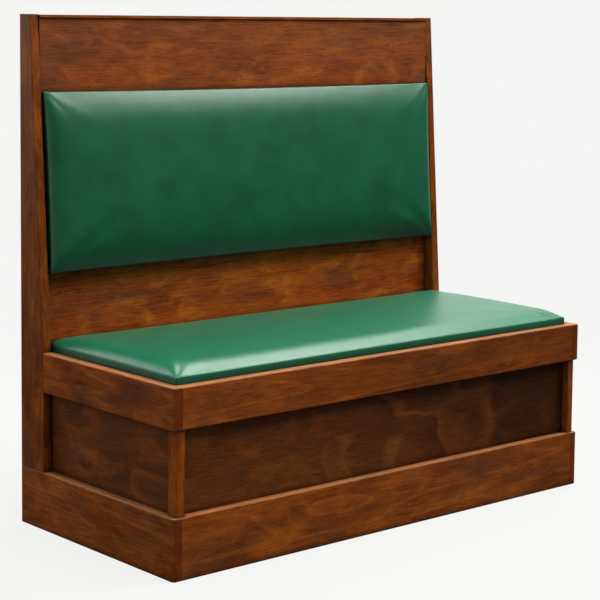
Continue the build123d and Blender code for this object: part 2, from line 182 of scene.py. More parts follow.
def backdrop_strength(tree, mirrored_level):
    # How bright the backdrop is for a ray, and whether the ray sees the backdrop at all
    path = node(tree, "ShaderNodeLightPath")
    camera_ray = path.outputs["Is Camera Ray"]
    mirrored = calc(tree, "MAXIMUM", path.outputs["Is Glossy Ray"], path.outputs["Is Transmission Ray"])
    level = calc(tree, "ADD", calc(tree, "MULTIPLY", mirrored, mirrored_level), camera_ray)
    return calc(tree, "MINIMUM", level, 1.0), calc(tree, "MAXIMUM", camera_ray, mirrored)


def studio_wall(tree):
    # The pale backdrop stands behind the booth, and the room in front of it is dark
    toward = dot(tree, node(tree, "ShaderNodeTexCoord").outputs["Generated"], BACKDROP_SIDE)
    return eased(tree, toward, *BACKDROP_FADE, MIRRORED_IN_FRONT, MIRRORED_BEHIND)


def build_world():
    world = bpy.data.worlds.new("studio")
    scene.world = world
    tree = new_tree(world)
    level, shown = backdrop_strength(tree, studio_wall(tree))
    backdrop = node(tree, "ShaderNodeBackground")
    backdrop.inputs["Color"].default_value = BACKDROP
    tree.links.new(level, backdrop.inputs["Strength"])
    light = node(tree, "ShaderNodeBackground")
    light.inputs["Color"].default_value = ROOM_LIGHT
    light.inputs["Strength"].default_value = ROOM_STRENGTH
    end_tree(tree, mixed_shader(tree, shown, light.outputs[0], backdrop.outputs[0]), "ShaderNodeOutputWorld")
    print("world", world.name, "nodes", len(tree.nodes))


build_world()

# %% Floor
FLOOR_RADIUS = 8.0
FLOOR_SIDES = 64
FLOOR_FADE = (0.7, 2.6)
FLOOR_SHADE = (0.93, 0.93, 0.92, 1)
FLOOR_BOUNCE = (0.10, 0.10, 0.097, 1)
MIRRORED_FLOOR = 0.04
SHADOW_SHARE = 0.10


def build_floor():
    sheet = bmesh.new()
    bmesh.ops.create_circle(sheet, cap_ends=True, segments=FLOOR_SIDES, radius=FLOOR_RADIUS)
    mesh = bpy.data.meshes.new("floor")
    sheet.to_mesh(mesh)
    sheet.free()
    floor = bpy.data.objects.new("floor", mesh)
    scene.collection.objects.link(floor)
    material = bpy.data.materials.new("studio_floor")
    tree = new_tree(material)
    level, shown = backdrop_strength(tree, MIRRORED_FLOOR)
    glow = node(tree, "ShaderNodeEmission")
    glow.inputs["Color"].default_value = BACKDROP
    tree.links.new(level, glow.inputs["Strength"])
    shade = node(tree, "ShaderNodeBsdfDiffuse")
    tree.links.new(over(tree, "MIX", shown, FLOOR_BOUNCE, FLOOR_SHADE), shade.inputs["Color"])
    distance = node(tree, "ShaderNodeVectorMath", operation="LENGTH")
    tree.links.new(node(tree, "ShaderNodeTexCoord").outputs["Object"], distance.inputs[0])
    near = eased(tree, distance.outputs["Value"], *FLOOR_FADE, 1.0 - SHADOW_SHARE, 1.0)
    share = calc(tree, "MULTIPLY", shown, near)
    end_tree(tree, mixed_shader(tree, share, shade.outputs[0], glow.outputs[0]))
    mesh.materials.append(material)
    print("floor radius", FLOOR_RADIUS)


build_floor()

# %% [markdown]
# ## The lamps
# The bright bands on the cushions tell where one lamp stood. A band lies where the surface faces
# halfway between the camera and the lamp. On the seat that is the front shoulder, so this lamp is
# high on the right and a little behind. On the back cushion it is the top shoulder, and that
# lamp is high on the right and a little in front. The others are wider and make no band: one
# overhead for the seat, one in front for the upright boards, one on the left for the end and one
# behind for the rear panel. All stand six metres away, so near and far boards get the same light,
# and each is set by the level that it gives a white surface.

# %% Lamps
LAMP_DISTANCE = 6.0
LAMP_TARGET = Vector((0.0, 0.0, 0.55))
LAMP_COLOUR = (1.0, 0.99, 0.97)

# For each lamp: where it stands, seen from the booth, its size from front to back and across that,
# and the light on a white surface that faces it, where 1 makes the surface render as white
LAMPS = {
    "right_light": ((0.60, -0.38, 0.70), (2.8, 1.5), 0.58),
    "rear_light": ((0.55, 0.36, 0.70), (2.8, 1.3), 0.44),
    "top_light": ((0.0, -0.15, 0.98), (3.0, 3.0), 0.52),
    "front_light": ((-0.12, -0.58, 0.80), (3.0, 3.0), 0.18),
    "left_light": ((-0.93, -0.16, 0.30), (5.0, 5.0), 0.17),
    "back_light": ((-0.25, 0.85, 0.46), (4.0, 4.0), 0.35),
}


def softbox(name, toward, size, level):
    data = bpy.data.lights.new(name, "AREA")
    data.shape = "RECTANGLE"
    data.size, data.size_y = size
    data.energy = level * (math.pi * LAMP_DISTANCE) ** 2
    data.color = LAMP_COLOUR
    lamp = bpy.data.objects.new(name, data)
    ray = Vector(toward).normalized()
    lengthwise = (Vector((0, 1, 0)) - ray * ray.y).normalized()
    turned = Matrix((lengthwise, ray.cross(lengthwise), ray)).transposed().to_4x4()
    lamp.matrix_world = Matrix.Translation(LAMP_TARGET + ray * LAMP_DISTANCE) @ turned
    scene.collection.objects.link(lamp)
    print(name, "at", [round(v, 2) for v in lamp.matrix_world.translation])


for lamp_name, lamp_values in LAMPS.items():
    softbox(lamp_name, *lamp_values)

# %% [markdown]
# ## Stained wood
# The boards are an open-grained hardwood under a dark red-brown stain and a satin lacquer. Four
# things make such a board: the figure, which is growth rings cut at a low angle, fine lines along
# the grain, pores, and the stain itself, which takes unevenly and leaves orange and smoky
# patches. A picture of wood could be laid on each face, but it would break at every edge. Here
# all of it is a solid pattern, so it goes round the edges. The figure is drawn as the contour
# lines of a slow noise, because contour lines close and fork the way cut rings do.

# %% Pattern helpers
def from_screen(red, green, blue):
    # A colour as a screen shows it, 0 to 255, turned into the light that Blender works in
    parts = []
    for value in (red, green, blue):
        share = value / 255
        parts.append(share / 12.92 if share <= 0.04045 else ((share + 0.055) / 1.055) ** 2.4)
    return (*parts, 1)


def grey(value):
    return (value, value, value, 1)


def noise(tree, place, stretch, detail=2.0, roughness=0.5, distortion=0.0):
    # stretch: how many features there are to a metre, along the grain and across it
    scaled = node(tree, "ShaderNodeVectorMath", operation="MULTIPLY")
    feed(tree, scaled.inputs[0], place)
    scaled.inputs[1].default_value = stretch
    made = node(tree, "ShaderNodeTexNoise")
    tree.links.new(scaled.outputs[0], made.inputs["Vector"])
    made.inputs["Scale"].default_value = 1.0
    made.inputs["Detail"].default_value = detail
    made.inputs["Roughness"].default_value = roughness
    made.inputs["Distortion"].default_value = distortion
    return made.outputs[0]


def ramp(tree, value, *stops):
    made = node(tree, "ShaderNodeValToRGB")
    elements = made.color_ramp.elements
    while len(elements) < len(stops):
        elements.new(0.5)
    for element, (place, colour) in zip(elements, stops):
        element.position = place
        element.color = colour
    tree.links.new(value, made.inputs[0])
    return made.outputs[0]


def spotted(tree, place, stretch, start, end, detail, roughness, distortion=0.0):
    # A noise whose levels from start to end are spread out over 0 to 1
    made = noise(tree, place, stretch, detail, roughness, distortion)
    return ramp(tree, made, (start, grey(0.0)), (end, grey(1.0)))


def bump_from(tree, height, strength, distance):
    made = node(tree, "ShaderNodeBump")
    made.inputs["Strength"].default_value = strength
    made.inputs["Distance"].default_value = distance
    tree.links.new(height, made.inputs["Height"])
    return made.outputs[0]


def shaded(tree, colour, roughness, normal, constants):
    # What varies over the surface is linked, and each constant is written on the shader's own socket
    shader = node(tree, "ShaderNodeBsdfPrincipled")
    tree.links.new(colour, shader.inputs["Base Color"])
    feed(tree, shader.inputs["Roughness"], roughness)
    tree.links.new(normal, shader.inputs["Normal"])
    for title, value in constants.items():
        shader.inputs[title].default_value = value
    end_tree(tree, shader.outputs[0])


# %% Grain and stain
GRAIN_TURNS = {"X": (0, 0, 0), "Y": (0, 0, math.pi / 2), "Z": (0, math.pi / 2, 0)}
BOARD_STEP = (3.1, 1.3, 0.7)
RING_PROFILE = ((0.0, grey(0.15)), (0.72, grey(0.3)), (0.90, grey(1.0)), (0.96, grey(0.15)))
RING_NOISE = (1.5, 0.45)
RING_FAINT = grey(0.35)

# For each pattern: features to a metre along and across the grain, the noise levels that become 0
# and 1, and the noise's detail, roughness and distortion
HAIRS = ((11.0, 360.0, 360.0), 0.36, 0.64, 4.0, 0.7)
PORES = ((34.0, 700.0, 700.0), 0.36, 0.50, 2.0, 0.6)
PATCHES = ((7.0, 15.0, 15.0), 0.34, 0.66, 5.0, 0.62)
GLOW = ((11.0, 24.0, 24.0), 0.50, 0.68, 4.0, 0.65, 0.4)
HAZE = ((5.0, 19.0, 19.0), 0.50, 0.68, 4.0, 0.65, 0.2)

ORANGE = from_screen(208, 114, 36)
SMOKE = from_screen(80, 56, 46)
# The paler grey that higher wood turns towards, a painted sheen
SHEEN_GREY = from_screen(126, 86, 60)
SHEEN_HEIGHTS = (0.80, 1.10)


def along(tree, place, axis, start, end):
    # Rises from 0 to 1 between two places on one axis
    parts = node(tree, "ShaderNodeSeparateXYZ")
    tree.links.new(place, parts.inputs[0])
    return eased(tree, parts.outputs[axis], start, end)


def board_place(tree, place, grain, seed):
    # Turns the pattern so that it runs along the grain, and moves it on by one step for each seed
    turned = node(tree, "ShaderNodeMapping", vector_type="TEXTURE")
    tree.links.new(place, turned.inputs["Vector"])
    turned.inputs["Rotation"].default_value = GRAIN_TURNS[grain]
    moved = node(tree, "ShaderNodeVectorMath", operation="ADD")
    tree.links.new(turned.outputs[0], moved.inputs[0])
    moved.inputs[1].default_value = tuple(seed * step for step in BOARD_STEP)
    return moved.outputs[0]


def growth_rings(tree, place, board, lines, spread, wave, bold):
    slow = noise(tree, board, spread, *RING_NOISE, wave)
    phase = calc(tree, "FRACT", calc(tree, "MULTIPLY", slow, lines))
    rings = ramp(tree, phase, *RING_PROFILE)
    if bold:
        rings = over(tree, "MIX", along(tree, place, "X", *bold), RING_FAINT, rings)
    return rings


def uneven_stain(tree, place, board, colour, orange, smoke, painted_sheen, rightward_darkening):
    glow = calc(tree, "MULTIPLY", spotted(tree, board, *GLOW), orange)
    colour = over(tree, "MIX", glow, colour, ORANGE)
    haze = calc(tree, "MULTIPLY", spotted(tree, board, *HAZE), smoke)
    colour = over(tree, "MIX", haze, colour, SMOKE)
    # Higher up, the colour turns paler and greyer, a painted sheen
    if painted_sheen:
        high = calc(tree, "MULTIPLY", along(tree, place, "Z", *SHEEN_HEIGHTS), painted_sheen)
        colour = over(tree, "MIX", high, colour, SHEEN_GREY)
    # The colour turns darker towards +X between two places
    if rightward_darkening:
        start, end, share = rightward_darkening
        darkening_share = calc(tree, "MULTIPLY", along(tree, place, "X", start, end), share)
        colour = over(tree, "MULTIPLY", darkening_share, colour, grey(0.0))
    return colour


# %% [markdown]
# ## Ends, edges and corners
# A stained board is never one colour up to its edge. The end grain soaks up stain and turns darker.
# Ledges that face up are lighter, a painted highlight. Upper edges are lighter, partly worn wood and
# partly painted highlight. Upright edges are joints, where the stain runs together. Every inner
# corner is darker, which is painted shade. These marks could be painted by hand, but here they
# follow the shape: which way a face looks, how far a rounded normal departs from the real one, and
# how much of the open room a point sees.

# %% Ends, edges and corners
GRAIN_AXES = {"X": (1, 0, 0), "Y": (0, 1, 0), "Z": (0, 0, 1)}
# Light tan wood: worn upper edges, and painted highlight on ledges and upper edges
WEAR_AND_HIGHLIGHT = from_screen(214, 150, 98)
EDGE_WIDTH = 0.003
EDGE_SAMPLES = 4
EDGE_DARKNESS = grey(0.15)
CORNER_SAMPLES = 6
BOARD_CORNER_REACH = 0.018


def facing(tree, axis):
    # 1 where the surface faces along the axis, falling to 0 beside it, and below 0 behind it
    return dot(tree, node(tree, "ShaderNodeNewGeometry").outputs["Normal"], axis)


def painted_corner_shade(tree, reach):
    # 0 in a corner between two boards and 1 in the open, used to darken colour as painted shade
    made = node(tree, "ShaderNodeAmbientOcclusion", samples=CORNER_SAMPLES)
    made.inputs["Distance"].default_value = reach
    return ramp(tree, made.outputs["AO"], (0.40, grey(0.0)), (0.92, grey(1.0)))


def dark_ends(tree, colour, grain, dark):
    end_grain = calc(tree, "ABSOLUTE", facing(tree, GRAIN_AXES[grain]))
    end_grain = ramp(tree, end_grain, (0.75, grey(0.0)), (0.97, grey(0.75)))
    return over(tree, "MIX", end_grain, colour, dark)


def painted_ledge_highlight(tree, colour, hairs, ledge):
    # Upward faces are mixed towards light tan, a painted highlight where the top light falls
    ledge_highlight = ramp(tree, facing(tree, (0, 0, 1)), (0.80, grey(0.0)), (0.98, grey(1.0)))
    ledge_highlight = calc(tree, "MULTIPLY", ledge_highlight, ledge)
    ledge_highlight = calc(tree, "MULTIPLY", ledge_highlight, calc(tree, "ADD", hairs, 0.45), clamp=True)
    return over(tree, "MIX", ledge_highlight, colour, WEAR_AND_HIGHLIGHT)


def marked_edges(tree, colour):
    # An edge is where the normal that a rounded edge would have departs from the real one
    rounded = node(tree, "ShaderNodeBevel", samples=EDGE_SAMPLES)
    rounded.inputs["Radius"].default_value = EDGE_WIDTH
    agree = dot(tree, rounded.outputs[0], node(tree, "ShaderNodeNewGeometry").outputs["Normal"])
    edge = ramp(tree, agree, (0.90, grey(1.0)), (0.99, grey(0.0)))
    parts = node(tree, "ShaderNodeSeparateXYZ")
    tree.links.new(rounded.outputs[0], parts.inputs[0])
    upper = ramp(tree, parts.outputs["Z"], (0.15, grey(0.0)), (0.45, grey(0.7)))
    # Upper edges turn lighter, partly worn wood and partly painted highlight; upright edges darken as joints
    colour = over(tree, "MIX", calc(tree, "MULTIPLY", edge, upper), colour, WEAR_AND_HIGHLIGHT)
    upright = calc(tree, "ABSOLUTE", parts.outputs["Z"])
    upright = ramp(tree, upright, (0.10, grey(0.7)), (0.30, grey(0.0)))
    return over(tree, "MULTIPLY", calc(tree, "MULTIPLY", edge, upright), colour, EDGE_DARKNESS)


# %% Stained wood material
HAIR_SHARE = 0.40
PATCH_SHARE = 0.30
PORE_DARKNESS = 0.34
CORNER_DARKNESS = 0.80
LACQUER = 0.36
LACQUER_ON_HAIRS = 0.08
LACQUER_ON_PORES = 0.05
LACQUER_SHINE = {"Specular IOR Level": 0.12}
PORE_BUMP = (0.20, 0.0005)


def stained_wood(name, grain, stain, seed, figure=0.35, lines=6.0, spread=(1.2, 9.0, 9.0), orange=0.45,
                 smoke=0.5, ledge=0.55, bold=None, painted_sheen=0.0, rightward_darkening=None, wave=0.3):
    # figure: how strong the growth rings are. lines and spread: how many contour lines they have,
    # and how fast they change along and across the grain. wave: how much they wander. bold: two
    # places in X between which they fade in. orange and smoke: how strong the two kinds of patches
    # are. ledge: how much upward faces turn lighter, a painted highlight. painted_sheen: how much
    # paler and greyer the wood is high up, a painted sheen. rightward_darkening: two places in X, and
    # how much darker the wood is by the second.
    material = bpy.data.materials.new(name)
    tree = new_tree(material)
    dark, light = stain
    place = node(tree, "ShaderNodeTexCoord").outputs["Object"]
    board = board_place(tree, place, grain, seed)
    rings = growth_rings(tree, place, board, lines, spread, wave, bold)
    hairs = spotted(tree, board, *HAIRS)
    pores = spotted(tree, board, *PORES)
    patches = spotted(tree, board, *PATCHES)

    tone = calc(tree, "MULTIPLY", rings, figure)
    tone = calc(tree, "ADD", tone, calc(tree, "MULTIPLY", hairs, HAIR_SHARE))
    tone = calc(tree, "ADD", tone, calc(tree, "MULTIPLY", patches, PATCH_SHARE))
    tone = calc(tree, "DIVIDE", tone, HAIR_SHARE + PATCH_SHARE + figure, clamp=True)
    colour = ramp(tree, tone, (0.10, dark), (0.90, light))
    colour = uneven_stain(tree, place, board, colour, orange, smoke, painted_sheen, rightward_darkening)
    colour = over(tree, "MULTIPLY", PORE_DARKNESS, colour, pores)
    colour = dark_ends(tree, colour, grain, dark)
    colour = painted_ledge_highlight(tree, colour, hairs, ledge)
    colour = marked_edges(tree, colour)
    # Inner corners are darkened, painted shade
    colour = over(tree, "MULTIPLY", CORNER_DARKNESS, colour, painted_corner_shade(tree, BOARD_CORNER_REACH))

    gloss = calc(tree, "ADD", calc(tree, "MULTIPLY", hairs, LACQUER_ON_HAIRS), LACQUER)
    gloss = calc(tree, "SUBTRACT", gloss, calc(tree, "MULTIPLY", pores, LACQUER_ON_PORES))
    height = calc(tree, "ADD", pores, calc(tree, "MULTIPLY", hairs, 0.6))
    shaded(tree, colour, gloss, bump_from(tree, height, *PORE_BUMP), LACQUER_SHINE)
    return material


def dress(material, *names):
    for name in names:
        mesh = nodes[name].data
        mesh.materials.clear()
        mesh.materials.append(material)
    print(material.name, "on", ", ".join(names))


# %% Wood on the boards
BOARD_STAIN = (from_screen(114, 48, 10), from_screen(192, 104, 37))
UPRIGHT_STAIN = (from_screen(100, 43, 9), from_screen(172, 92, 34))
BACK_STAIN = (from_screen(122, 47, 8), from_screen(204, 101, 33))
PANEL_STAIN = (from_screen(82, 40, 15), from_screen(152, 88, 40))

BACK_LOOK = {"figure": 0.12, "orange": 0.85, "smoke": 0.6, "painted_sheen": 0.40}
FRONT_LOOK = {
    "figure": 1.2, "lines": 4.0, "spread": (3.4, 2.2, 4.2), "wave": 0.8, "orange": 0.2, "smoke": 0.3,
    "bold": (-0.35, 0.05), "rightward_darkening": (-0.3, 0.5, 0.55),
}
END_LOOK = {"figure": 0.7, "lines": 4.0, "spread": (2.2, 3.6, 3.6), "orange": 0.25, "smoke": 0.3}

# For each finish: the grain's direction, the stain, the seed, what differs and the boards
STAINED_BOARDS = {
    "stained_plinth": ("X", BOARD_STAIN, 1.0, {"rightward_darkening": (0.1, 0.6, 0.18)},
                       ("plinth_front_board", "plinth_back_board")),
    "stained_rail": ("X", BOARD_STAIN, 2.0, {"rightward_darkening": (-0.45, 0.25, 0.24)}, ("seat_rail_front",)),
    "stained_sides": ("Y", BOARD_STAIN, 3.0, {},
                      ("plinth_left_board", "plinth_right_board", "seat_rail_left", "seat_rail_right")),
    "stained_uprights": ("Z", UPRIGHT_STAIN, 4.0, {"smoke": 0.4, "painted_sheen": 0.10},
                         ("end_board_left", "end_board_right")),
    "stained_posts": ("Z", BOARD_STAIN, 4.5, {}, ("corner_post_left", "corner_post_right")),
    "stained_cap": ("X", BOARD_STAIN, 5.0, {}, ("top_cap",)),
    "stained_back": ("X", BACK_STAIN, 6.0, BACK_LOOK, ("back_face_panel",)),
    "stained_front": ("X", PANEL_STAIN, 7.0, FRONT_LOOK, ("front_panel",)),
    "stained_ends": ("Y", PANEL_STAIN, 8.0, END_LOOK, ("side_panel_left", "side_panel_right")),
    # The inner frame and studs take the dark panel stain, painted shade for the inside seen through gaps
    "frame_dark_as_shade": ("X", PANEL_STAIN, 9.0, {"ledge": 0.0},
                      ("back_lower_rail", "back_bottom_rail", "box_rear_panel", "base_deck")),
    "studs_dark_as_shade": ("Z", PANEL_STAIN, 10.0, {"ledge": 0.0}, ("back_studs",)),
}
for finish_name, (grain, stain, seed, look, boards) in STAINED_BOARDS.items():
    dress(stained_wood(finish_name, grain, stain, seed, **look), *boards)

# %% [markdown]
# ## Plain timber, plywood, steel and dust cloth
# Inside the box and behind the back little is stained. The frame is sawn softwood, the rear and
# the seat's board are plywood, the screws are zinc-plated and the seat's underside is closed with
# black cloth. One helper makes them all, because they differ only in colour, grain and shine.

# %% Plain materials
GRAIN_SHARE = 0.7
GRAIN_BUMP = (0.3, 0.0003)
SOFT_PATCHES = (7.0, 9.0, 8.0)

# For each slot: the material's name, its dark and light colour, its grain, roughness and metallic
PLAIN_FINISHES = {
    "plain_plywood": ("plain_plywood", (196, 152, 102), (222, 184, 132), (3, 60, 90), 0.65, 0.0),
    "softwood": ("softwood", (184, 142, 92), (216, 180, 128), (5, 140, 140), 0.7, 0.0),
    "steel": ("zinc_steel", (140, 140, 142), (200, 200, 202), (300, 300, 300), 0.35, 1.0),
    "dust_cloth": ("dust_cloth", (16, 16, 17), (40, 40, 42), (900, 900, 900), 0.9, 0.0),
}


def plain_material(name, dark, light, stretch, roughness, metallic):
    material = bpy.data.materials.new(name)
    tree = new_tree(material)
    place = node(tree, "ShaderNodeTexCoord").outputs["Object"]
    grain = noise(tree, place, stretch, 4.0, 0.6)
    patches = noise(tree, place, SOFT_PATCHES, 3.0)
    tone = calc(tree, "ADD", calc(tree, "MULTIPLY", grain, GRAIN_SHARE),
                calc(tree, "MULTIPLY", patches, 1.0 - GRAIN_SHARE))
    colour = ramp(tree, tone, (0.36, from_screen(*dark)), (0.64, from_screen(*light)))
    shaded(tree, colour, roughness, bump_from(tree, grain, *GRAIN_BUMP), {"Metallic": metallic})
    return material


plain_materials = {slot: plain_material(*values) for slot, values in PLAIN_FINISHES.items()}
for slot, material in plain_materials.items():
    dress(material, *[item["node"] for item in frame["record"]["subparts"] if item["material_slot"] == slot])

# %% [markdown]
# ## Green vinyl
# The cushions are covered in plain green vinyl with a fine pressed leather grain and a satin
# shine. The grain is small rounded cells, too fine to model, so it is a bump, and a second,
# larger set of cells gives the faint creases of a stretched cover. The colour is almost even. The
# back's copy is a little darker than the seat's, which is painted shade. Faces that look down and
# the seams, where the cover goes into the frame, are darkened as painted shade.

# %% Vinyl material
VINYL_CLOUDS = (14.0, 14.0, 14.0)
VINYL_FLECKS = (220.0, 220.0, 220.0)
VINYL_ROUGHNESS = 0.27
VINYL_SHINE = {"Specular IOR Level": 0.48, "Coat Weight": 0.20, "Coat Roughness": 0.50}
VINYL_BUMP = (0.22, 0.0006)
SEAM_REACH = 0.038
SEAM_DARKNESS = 0.90
LEATHER_CELLS = 620.0
CREASE_CELLS = 120.0
CREASE_SHARE = 0.8
CELL_RIM = 0.25


def cells(tree, place, scale):
    made = node(tree, "ShaderNodeTexVoronoi", feature="DISTANCE_TO_EDGE")
    tree.links.new(place, made.inputs["Vector"])
    made.inputs["Scale"].default_value = scale
    return calc(tree, "MINIMUM", made.outputs["Distance"], CELL_RIM)


def green_vinyl(name, shade, tint):
    material = bpy.data.materials.new(name)
    tree = new_tree(material)
    place = node(tree, "ShaderNodeTexCoord").outputs["Object"]
    clouds = noise(tree, place, VINYL_CLOUDS, 4.0, 0.6)
    fine = noise(tree, place, VINYL_FLECKS, 3.0, 0.6)
    colour = ramp(tree, clouds, (0.25, shade), (0.75, tint))
    colour = over(tree, "MULTIPLY", 0.5, colour, ramp(tree, fine, (0.3, grey(0.82)), (0.6, grey(1.0))))
    # Faces that look down are darkened, painted shade
    downward_shade = ramp(tree, facing(tree, (0, 0, -1)), (0.0, grey(1.0)), (0.35, grey(0.45)))
    colour = over(tree, "MULTIPLY", 1.0, colour, downward_shade)
    # The seams, where the cover meets the frame, are darkened as painted shade
    colour = over(tree, "MULTIPLY", SEAM_DARKNESS, colour, painted_corner_shade(tree, SEAM_REACH))
    gloss = calc(tree, "ADD", calc(tree, "MULTIPLY", fine, 0.10), VINYL_ROUGHNESS)
    creases = calc(tree, "MULTIPLY", cells(tree, place, CREASE_CELLS), CREASE_SHARE)
    height = calc(tree, "ADD", cells(tree, place, LEATHER_CELLS), creases)
    height = calc(tree, "ADD", height, calc(tree, "MULTIPLY", fine, 0.3))
    shaded(tree, colour, gloss, bump_from(tree, height, *VINYL_BUMP), VINYL_SHINE)
    print(name, "nodes", len(tree.nodes))
    return material


# The back's copy is darker than the seat's, painted shade for the less light on an upright face
seat_vinyl = green_vinyl("green_vinyl_seat", from_screen(6, 112, 79), from_screen(15, 131, 93))
back_vinyl_shaded = green_vinyl("green_vinyl_back_shaded", from_screen(7, 90, 57), from_screen(17, 110, 72))

# %% [markdown]
# ## The cushions
# A booth cushion is a block of foam on a board, with a vinyl cover pulled tight over it and
# stapled underneath. The cover rounds the foam's edges, domes the middle and pulls in between
# the corners, and at each corner it is folded, which leaves a short crease. It could be a box with
# rounded edges, but that has no dome and no crease. So each cushion starts as a grid that already
# has its shape, a little too slim, with rows of faces that join it to a flat underside.

# %% Cushion shape
GRID_LONG = 130
GRID_SHORT = 60
WALL_ROWS = 5


def spaced(count, crowd=0.6):
    # Numbers from -1 to 1 that lie closer together towards both ends
    even = np.linspace(-1, 1, count)
    return even * (1 - crowd) + np.sin(even * math.pi / 2) * crowd


def round_shoulder(distance, run, power=2.4):
    # Climbs from 0 at the edge to 1 at the distance run, steep first and then ever more level
    left = 1 - np.clip(distance / run, 0, 1)
    return 1 - left ** power


def flat_shoulder(distance, run):
    # Climbs on an even slope over the firm edge of the foam and levels out only near its end
    share = np.clip(distance / run, 0, 1)
    return (share - share ** 4 / 4) * 4 / 3


def lesser(first, second, soft=0.35):
    # The smaller of two heights, with the ridge between them rounded
    near = np.maximum(soft - np.abs(first - second), 0) / soft
    return np.minimum(first, second) - near * near * soft / 4


def corner_crease(first, second, depth, width, reach):
    # A fold that runs inwards from each corner. first, second: distances from the two edges.
    aside = np.abs(first - second) / math.sqrt(2)
    inward = (first + second) / math.sqrt(2)
    fade = np.clip(1 - inward / reach, 0, 1) * np.clip(inward / (width * 1.5), 0, 1)
    return depth * np.exp(-(aside / width) ** 2) * fade


def closed_pillow(name, top, bottom):
    # top and bottom: grids of points of one shape. Rows of faces join their borders.
    rows, columns, _ = top.shape
    count = rows * columns
    ring = list(range(columns))
    ring += [r * columns + columns - 1 for r in range(1, rows)]
    ring += [(rows - 1) * columns + c for c in range(columns - 2, -1, -1)]
    ring += [r * columns for r in range(rows - 2, 0, -1)]
    flat_top = top.reshape(-1, 3)
    flat_bottom = bottom.reshape(-1, 3)
    layers = [flat_top, flat_bottom]
    levels = [np.array(ring)]
    for row in range(1, WALL_ROWS):
        share = row / WALL_ROWS
        layers.append(flat_top[ring] * (1 - share) + flat_bottom[ring] * share)
        start = 2 * count + (row - 1) * len(ring)
        levels.append(np.arange(start, start + len(ring)))
    levels.append(np.array(ring) + count)
    faces = []
    for r in range(rows - 1):
        for c in range(columns - 1):
            k = r * columns + c
            faces.append((k, k + 1, k + columns + 1, k + columns))
            faces.append((count + k, count + k + columns, count + k + columns + 1, count + k + 1))
    for upper, lower in zip(levels, levels[1:]):
        for i in range(len(ring)):
            j = (i + 1) % len(ring)
            faces.append((int(upper[i]), int(lower[i]), int(lower[j]), int(upper[j])))
    mesh = bpy.data.meshes.new(name)
    mesh.from_pydata([tuple(p) for p in np.concatenate(layers)], [], faces)
    outward = bmesh.new()
    outward.from_mesh(mesh)
    bmesh.ops.recalc_face_normals(outward, faces=outward.faces)
    outward.to_mesh(mesh)
    outward.free()
    made = bpy.data.objects.new(name, mesh)
    scene.collection.objects.link(made)
    return made


# %% [markdown]
# ## Blowing the cushions up
# A tight cover shares its pull over the whole cushion, which no formula for the grid gives well. A
# short cloth simulation with pressure inside does, because it evens out the swelling the way a
# stretched cover does. The underside and the foot of the sides are held, so the cushion still fits
# its frame. The whole movement is drawn back by one share, since a plain stop leaves a hard step.

# %% Cushion simulation
CLOTH_FRAMES = 20
CLOTH_VALUES = {
    "quality": 6,
    "mass": 0.3,
    "tension_stiffness": 30,
    "compression_stiffness": 30,
    "shear_stiffness": 20,
    "bending_stiffness": 4.0,
    "use_pressure": True,
    "uniform_pressure_force": 2.0,
    "vertex_group_mass": "held",
}
SWELLING = 0.004
HELD_HEIGHT = 0.010
HELD_FADE = 0.006


def applied(obj):
    # The object's mesh as its modifiers leave it, kept as a plain mesh
    graph = bpy.context.evaluated_depsgraph_get()
    mesh = bpy.data.meshes.new_from_object(obj.evaluated_get(graph))
    obj.modifiers.clear()
    old = obj.data
    obj.data = mesh
    bpy.data.meshes.remove(old)


def coordinates(mesh):
    flat = np.zeros(len(mesh.vertices) * 3)
    mesh.vertices.foreach_get("co", flat)
    return flat.reshape(-1, 3)


def inflate(obj, held):
    # held: gives each point a number from 0, free, to 1, fixed
    rest = coordinates(obj.data)
    group = obj.vertex_groups.new(name="held")
    for index, weight in enumerate(held(rest)):
        group.add([index], float(weight), "REPLACE")
    cloth = obj.modifiers.new("cloth", "CLOTH")
    for name, value in CLOTH_VALUES.items():
        setattr(cloth.settings, name, value)
    cloth.settings.effector_weights.gravity = 0.0
    cloth.point_cache.frame_start = 1
    cloth.point_cache.frame_end = CLOTH_FRAMES
    for step in range(1, CLOTH_FRAMES + 1):
        scene.frame_set(step)
    applied(obj)
    scene.frame_set(1)
    obj.vertex_groups.clear()
    moved = coordinates(obj.data) - rest
    furthest = float(np.linalg.norm(moved, axis=1).max())
    print(obj.name, "blown up by at most", round(furthest, 4), "m, kept to", SWELLING)
    moved *= min(1.0, SWELLING / max(furthest, 1e-9))
    obj.data.vertices.foreach_set("co", (rest + moved).ravel())
    obj.data.update()


def finish_cushion(obj, material, *replaced):
    smooth = obj.modifiers.new("subdivision", "SUBSURF")
    smooth.levels = 1
    smooth.render_levels = 1
    applied(obj)
    obj.data.materials.clear()
    obj.data.materials.append(material)
    obj.data.shade_smooth()
    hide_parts(*replaced)
    print(obj.name, "faces", len(obj.data.polygons))


# %% Seat cushion
seat_low, seat_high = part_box("seat_cover")
rail_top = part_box("seat_rail_front")[1].z
CUSHION_CLEARANCE = 0.0005
SEAT_SEAM_RISE = 0.0155
SEAT_CORNER_LIFT = 0.002
SEAT_DRAW_IN = 0.004
SEAT_SHOULDER = 0.062
SEAT_END_SHOULDER = 0.042
SEAT_DOME = 0.002
SEAT_END_CROWN = 0.005
SEAT_SWELL_ROOM = 0.003
SEAT_CREASE = (0.0025, 0.007, 0.09)
print("seat space", [round(v, 4) for v in (*seat_low, *seat_high)])


